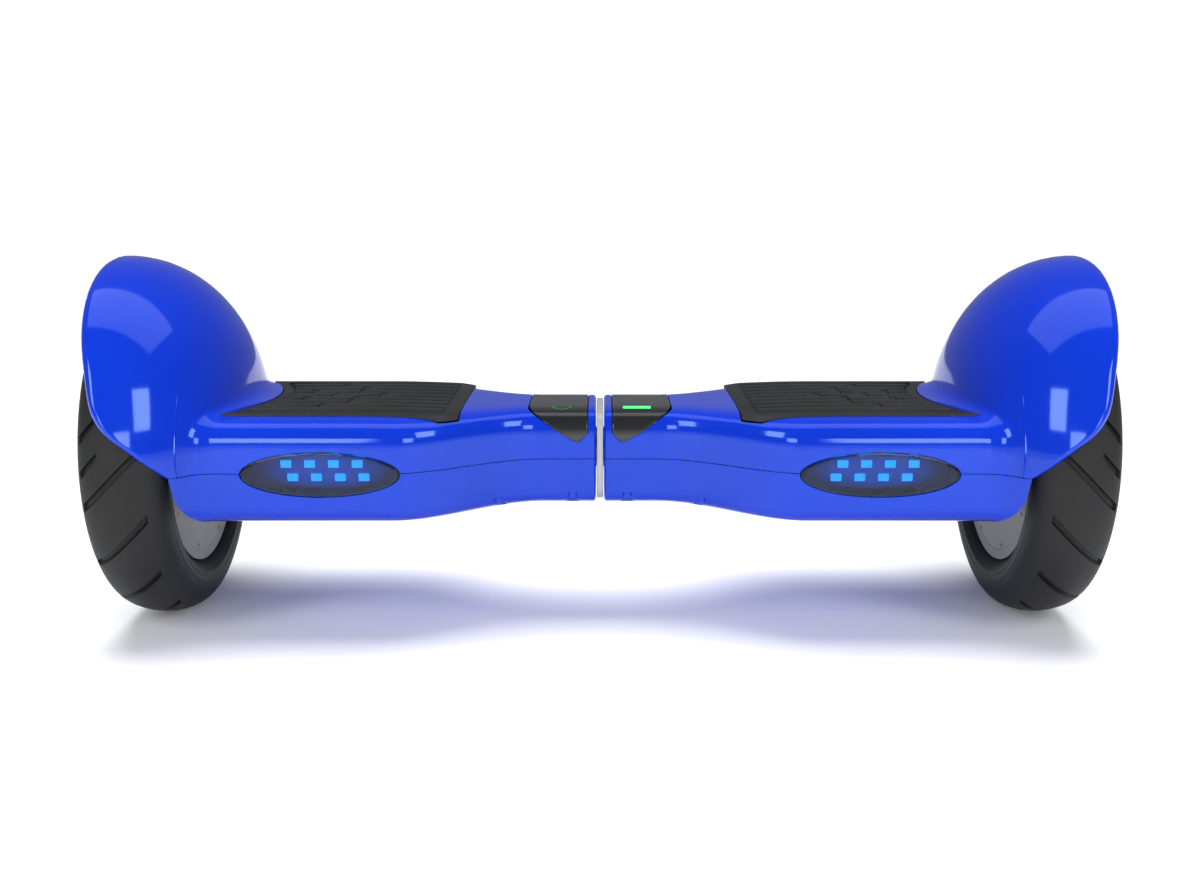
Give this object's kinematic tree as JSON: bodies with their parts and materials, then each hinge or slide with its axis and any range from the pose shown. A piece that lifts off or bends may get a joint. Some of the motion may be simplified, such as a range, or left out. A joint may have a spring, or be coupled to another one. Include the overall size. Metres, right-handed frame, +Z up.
{
  "type": "self balancing hoverboard",
  "caption": "Two-wheeled self balancing board: twisting halves on a centre shaft, in-hub motor wheels under curved fenders, ribbed foot mats, front lamps.",
  "frame": {"origin": "on the floor, below the middle of the board, at the centre of its bounding box", "axes": "+X to the rider's right along the wheel axle, lamps face -Y, +Z up"},
  "size_m": [0.7132, 0.2674, 0.268],
  "materials": {
    "shell": "glossy injection moulded, saturated blue",
    "casting": "as cast",
    "fastener": "zinc plated",
    "steel": "ground",
    "lamination": "stacked laminations, varnished",
    "copper": "enamelled copper wire",
    "circuit": "solder-masked board with dark parts",
    "lens": "tinted clear blue",
    "lamp_board": "white lamp board with cyan LEDs",
    "panel": "smoked gloss",
    "cable": "matte jacket",
    "tyre": "moulded rubber",
    "rim": "painted grey, satin",
    "magnet": "nickel plated",
    "valve_rubber": "matte",
    "hub_plastic": "fine grain",
    "mat_rubber": "ribbed, matte",
    "washer": "satin",
    "bush": "sintered",
    "battery_wrap": "shrink sleeve",
    "socket_metal": "nickel plated",
    "cap_rubber": "matte",
    "button": "gloss, light ring",
    "green_light": "lit sign"
  },
  "bodies": {
    "left_half": {"left_upper_shell": "shell", "left_lower_shell": "shell", "left_chassis": "casting", "left_axle_clamp": "casting", "left_clamp_bolts": "fastener", "left_axle": "steel", "left_stator": "lamination", "left_windings": "copper", "left_gyro_board": "circuit", "left_headlight_lens": "lens", "left_headlight_module": "lamp_board", "left_status_panel": "panel", "left_shell_screws": "fastener", "left_motor_cable": "cable", "center_shaft": "steel", "shaft_ring": "steel", "center_washer": "washer", "battery_pack": "battery_wrap", "battery_lead": "cable", "center_harness": "cable", "charge_socket": "socket_metal", "power_indicator": "green_light"},
    "right_half": {"right_upper_shell": "shell", "right_lower_shell": "shell", "right_chassis": "casting", "right_axle_clamp": "casting", "right_clamp_bolts": "fastener", "right_axle": "steel", "right_stator": "lamination", "right_windings": "copper", "right_gyro_board": "circuit", "right_headlight_lens": "lens", "right_headlight_module": "lamp_board", "right_status_panel": "panel", "right_shell_screws": "fastener", "right_motor_cable": "cable", "shaft_bushes": "bush", "twist_stop_pin": "steel", "main_board": "circuit", "battery_indicator": "green_light"},
    "left_wheel": {"left_tyre": "tyre", "left_rim": "rim", "left_magnet_ring": "magnet", "left_motor_cover": "rim", "left_cover_screws": "fastener", "left_wheel_bearings": "steel", "left_valve": "valve_rubber", "left_hub_cap": "hub_plastic"},
    "right_wheel": {"right_tyre": "tyre", "right_rim": "rim", "right_magnet_ring": "magnet", "right_motor_cover": "rim", "right_cover_screws": "fastener", "right_wheel_bearings": "steel", "right_valve": "valve_rubber", "right_hub_cap": "hub_plastic"},
    "left_foot_pad": {"left_foot_mat": "mat_rubber"},
    "right_foot_pad": {"right_foot_mat": "mat_rubber"},
    "power_button": {"power_button": "button"},
    "charge_cap": {"charge_port_cap": "cap_rubber"}
  },
  "joints": [
    {"name": "center_twist", "type": "hinge", "parent": "left_half", "child": "right_half", "pos_m": [0, 0, 0.124], "axis": [1, 0, 0], "range_deg": [-12, 12]},
    {"name": "left_wheel_spin", "type": "hinge", "parent": "left_half", "child": "left_wheel", "pos_m": [-0.325, 0, 0.127], "axis": [1, 0, 0], "continuous": true},
    {"name": "right_wheel_spin", "type": "hinge", "parent": "right_half", "child": "right_wheel", "pos_m": [0.325, 0, 0.127], "axis": [1, 0, 0], "continuous": true},
    {"name": "left_pad_press", "type": "slide", "parent": "left_half", "child": "left_foot_pad", "axis": [0, 0, -1], "range_m": [0, 0.002], "stiffness_N_per_m": 8000, "springref_m": -0.0005},
    {"name": "right_pad_press", "type": "slide", "parent": "right_half", "child": "right_foot_pad", "axis": [0, 0, -1], "range_m": [0, 0.002], "stiffness_N_per_m": 8000, "springref_m": -0.0005},
    {"name": "power_button_press", "type": "slide", "parent": "right_half", "child": "power_button", "axis": [0, -1, 0], "range_m": [0, 0.0015], "stiffness_N_per_m": 600, "springref_m": -0.0005},
    {"name": "charge_cap_flip", "type": "hinge", "parent": "left_half", "child": "charge_cap", "pos_m": [-0.0518, 0.0494, 0.11], "axis": [0, 0, 1], "range_deg": [0, 110]}
  ]
}
